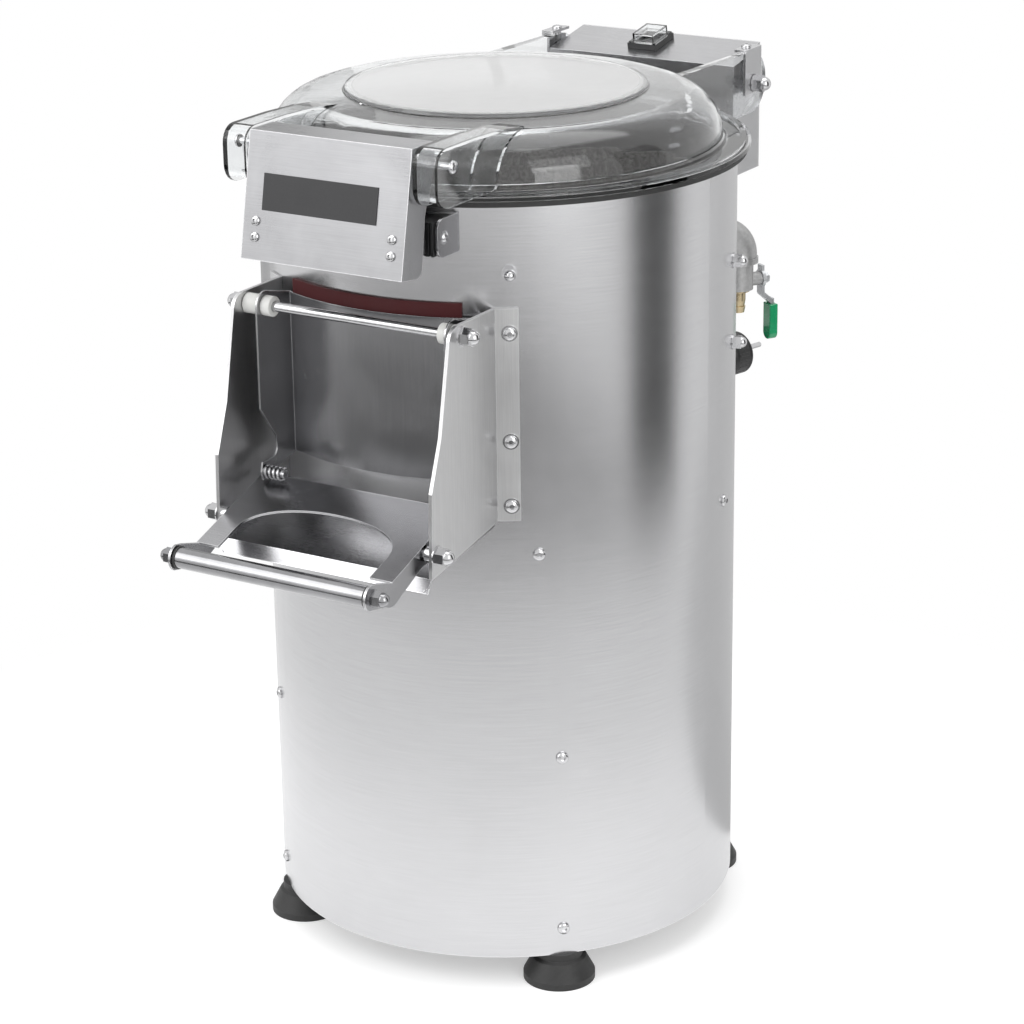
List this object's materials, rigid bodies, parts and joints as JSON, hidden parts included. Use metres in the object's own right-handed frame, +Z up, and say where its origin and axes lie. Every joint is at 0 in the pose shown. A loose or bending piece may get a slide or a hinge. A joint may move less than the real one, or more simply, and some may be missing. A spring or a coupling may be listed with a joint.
{
  "type": "electric potato peeler",
  "caption": "Floor-standing catering potato peeler: stainless drum with abrasive disc, hinged clear lid, front discharge chute with door and handle, water valve, drain and switch box.",
  "frame": {"origin": "on the floor, on the drum's vertical axis, midway between the feet", "axes": "+Z up; the chute, its door and the handle face -Y; +X is to the right seen from the front; 1 unit = 1 m"},
  "size_m": [0.4658, 0.6562, 0.733],
  "materials": {
    "stainless": "brushed, satin",
    "polished_steel": "polished",
    "zinc_steel": "zinc plated",
    "cast_grey": "galvanised casting",
    "motor_paint": "painted",
    "brass": "satin",
    "clear_plastic": "clear, glossy",
    "black_rubber": "matt",
    "red_silicone": "satin",
    "green_vinyl": "glossy",
    "black_plastic": "satin",
    "white_nylon": "satin",
    "grey_plastic": "satin",
    "abrasive": "rough grit",
    "dark_plate": "satin"
  },
  "bodies": {
    "frame": {"drum": "stainless", "feet": "black_rubber", "leg_brackets": "stainless", "frame_bolts": "zinc_steel", "frame_screws": "polished_steel", "chamber_floor": "stainless", "abrasive_liner": "abrasive", "bearing_housing": "cast_grey", "bearings": "polished_steel", "shaft_seal": "black_rubber", "motor_mount": "stainless", "motor_body": "motor_paint", "drive_belt": "black_rubber", "drain_pipe": "stainless", "drain_elbow": "stainless", "inlet_elbow": "cast_grey", "valve_body": "cast_grey", "hose_barb": "brass", "chute_left_plate": "stainless", "chute_right_plate": "stainless", "chute_floor": "stainless", "door_seal": "red_silicone", "pivot_rods": "polished_steel", "catch_bracket": "stainless", "safety_switch": "black_plastic", "box_bracket": "stainless", "control_box": "stainless", "box_cover": "stainless", "switch_base": "black_plastic", "switch_cap": "clear_plastic", "contactor": "grey_plastic", "cable_gland": "black_plastic", "cord_lead": "black_rubber", "cord_hank": "black_rubber", "cord_tail": "black_rubber", "cord_clip": "black_plastic", "mains_plug": "black_plastic", "plug_pins": "polished_steel"},
    "disc": {"main_shaft": "polished_steel", "large_pulley": "cast_grey", "abrasive_disc": "abrasive", "disc_nut": "stainless"},
    "rotor": {"motor_rotor": "zinc_steel", "small_pulley": "cast_grey"},
    "valve": {"valve_lever": "zinc_steel", "valve_sleeve": "green_vinyl"},
    "door": {"discharge_door": "stainless", "door_bushings": "white_nylon", "toe_spring": "polished_steel"},
    "lever": {"lever_plate": "stainless", "handle_tube": "polished_steel"},
    "lid": {"lid_dome": "clear_plastic", "lid_gasket": "black_rubber", "lid_brackets": "stainless", "latch_bolts": "polished_steel"},
    "flap": {"latch_box": "stainless", "latch_screws": "polished_steel", "latch_magnets": "zinc_steel", "name_plate": "dark_plate"},
    "rocker": {"switch_rocker": "black_plastic"}
  },
  "joints": [
    {"name": "disc_spin", "type": "hinge", "parent": "frame", "child": "disc", "pos_m": [0, 0, 0.43], "axis": [0, 0, 1], "continuous": true},
    {"name": "rotor_spin", "type": "hinge", "parent": "frame", "child": "rotor", "pos_m": [0, 0.122, 0.21], "axis": [0, 0, 1], "continuous": true},
    {"name": "valve_turn", "type": "hinge", "parent": "frame", "child": "valve", "pos_m": [0.14282, 0.20397, 0.534], "axis": [0.5736, 0.8192, 0], "range_deg": [0, 90]},
    {"name": "door_swing", "type": "hinge", "parent": "frame", "child": "door", "pos_m": [0, -0.222, 0.584], "axis": [-1, 0, 0], "range_deg": [0, 65]},
    {"name": "lever_lift", "type": "hinge", "parent": "frame", "child": "lever", "pos_m": [0, -0.265, 0.418], "axis": [-1, 0, 0], "range_deg": [0, 30]},
    {"name": "lid_hinge", "type": "hinge", "parent": "frame", "child": "lid", "pos_m": [0, 0.266, 0.692], "axis": [-1, 0, 0], "range_deg": [0, 95]},
    {"name": "flap_swing", "type": "hinge", "parent": "lid", "child": "flap", "pos_m": [0, -0.225, 0.717], "axis": [-1, 0, 0], "range_deg": [0, 40]},
    {"name": "switch_rock", "type": "hinge", "parent": "frame", "child": "rocker", "pos_m": [-0.005, 0.27498, 0.71325], "axis": [1, 0, 0], "range_deg": [0, 16]}
  ],
  "couplings": [
    {"joint": "rotor_spin", "follows": "disc_spin", "ratio": 4}
  ]
}
